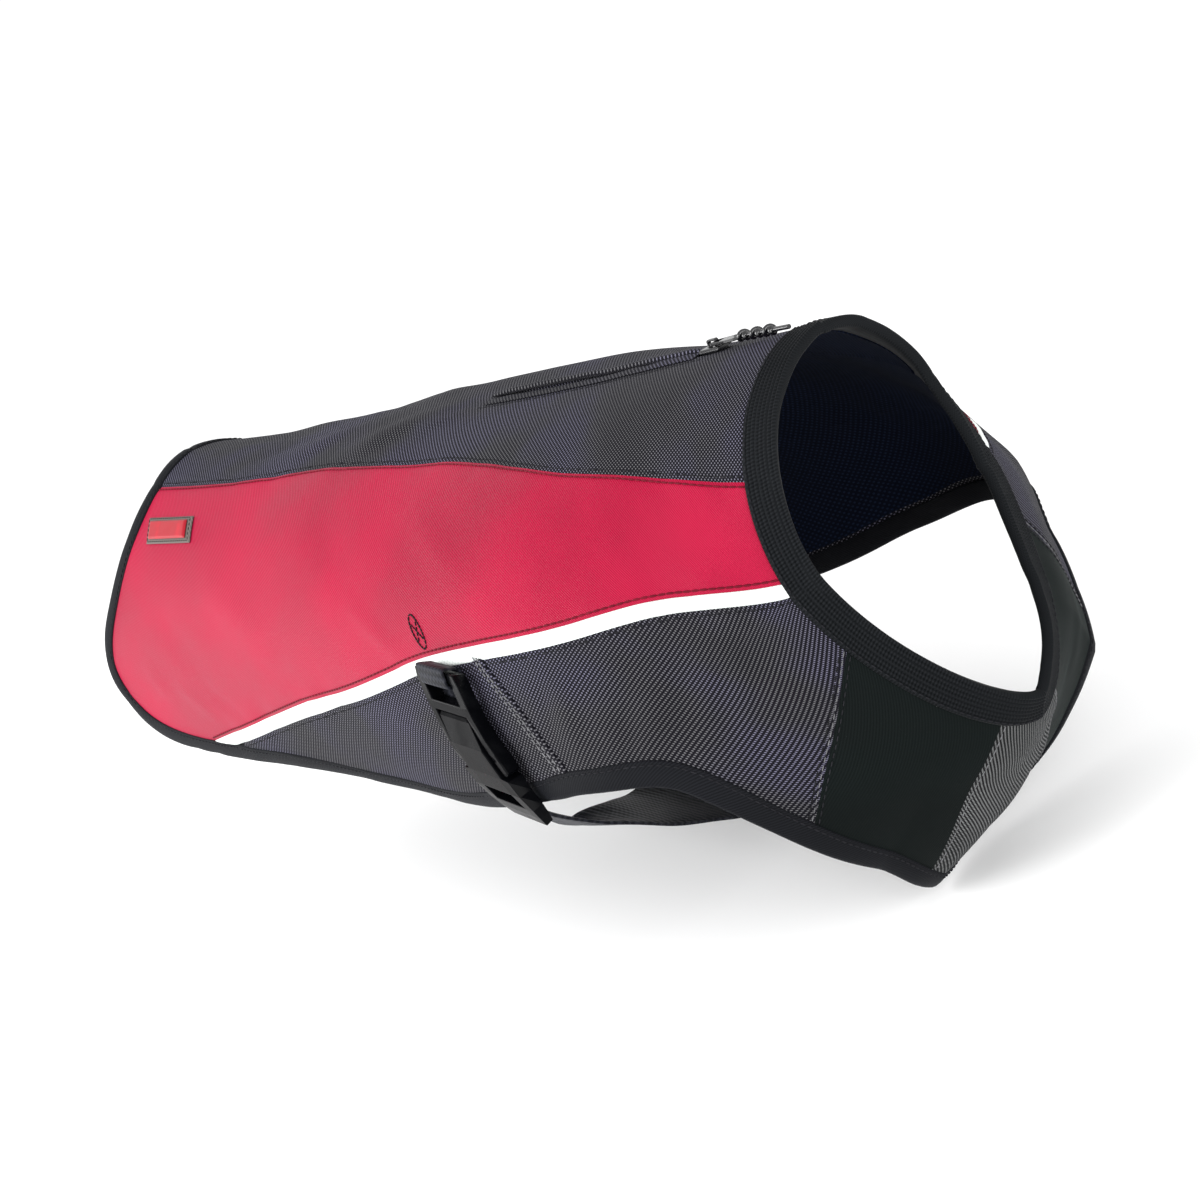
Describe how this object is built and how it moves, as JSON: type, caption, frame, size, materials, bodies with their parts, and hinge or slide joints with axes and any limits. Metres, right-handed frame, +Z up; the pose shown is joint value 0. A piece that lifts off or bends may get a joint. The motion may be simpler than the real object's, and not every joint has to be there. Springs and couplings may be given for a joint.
{
  "type": "dog jacket",
  "caption": "Dog jacket filled out with no wearer: panelled back and sides, ribbed neck, chest band round the neck, zip slot on the back and a buckled belly strap.",
  "frame": {"origin": "inner face of the lining on the spine, where the wearer's back carries the jacket", "axes": "+X towards the head, +Y towards the wearer's left side, +Z up"},
  "size_m": [0.4539, 0.2176, 0.1843],
  "materials": {
    "grey_weave": "woven, satin",
    "crimson_twill": "twill, satin",
    "reflective_strip": "reflective",
    "black_stretch": "matt",
    "ribbed_elastic": "ribbed, matt",
    "binding_tape": "matt",
    "navy_lining": "matt",
    "black_webbing": "woven",
    "black_plastic": "moulded",
    "black_metal": "painted",
    "taupe_label": "matt"
  },
  "bodies": {
    "jacket": {"anchor_loop": "black_webbing", "back_panel": "grey_weave", "backing_band": "black_webbing", "belly_strap": "black_webbing", "buckle_plug": "black_plastic", "buckle_socket": "black_plastic", "chest_panel": "grey_weave", "front_flank_left": "grey_weave", "front_flank_right": "grey_weave", "hem_binding": "binding_tape", "label_patch": "taupe_label", "label_plate": "crimson_twill", "leg_binding_left": "binding_tape", "leg_binding_right": "binding_tape", "lining_back": "navy_lining", "lining_front_left": "navy_lining", "lining_front_right": "navy_lining", "lining_rear_left": "navy_lining", "lining_rear_right": "navy_lining", "lining_side_left": "navy_lining", "lining_side_right": "navy_lining", "lower_binding_left": "binding_tape", "lower_binding_right": "binding_tape", "neck_binding": "ribbed_elastic", "rear_flank_left": "grey_weave", "rear_flank_right": "grey_weave", "reflective_strip_left": "reflective_strip", "reflective_strip_right": "reflective_strip", "shoulder_panel_left": "black_stretch", "shoulder_panel_right": "black_stretch", "side_panel_left": "crimson_twill", "side_panel_right": "crimson_twill", "zip_lip_left": "grey_weave", "zip_lip_right": "grey_weave", "zip_slider": "black_metal", "zip_tape": "black_webbing"},
    "zip_pull": {"pull_tab": "black_metal", "pull_cord": "black_webbing"}
  },
  "joints": [
    {"name": "pull_hinge", "type": "hinge", "parent": "jacket", "child": "zip_pull", "pos_m": [0.12572, 0, 0.00806], "axis": [0, -1, 0], "range_deg": [0, 160]}
  ]
}
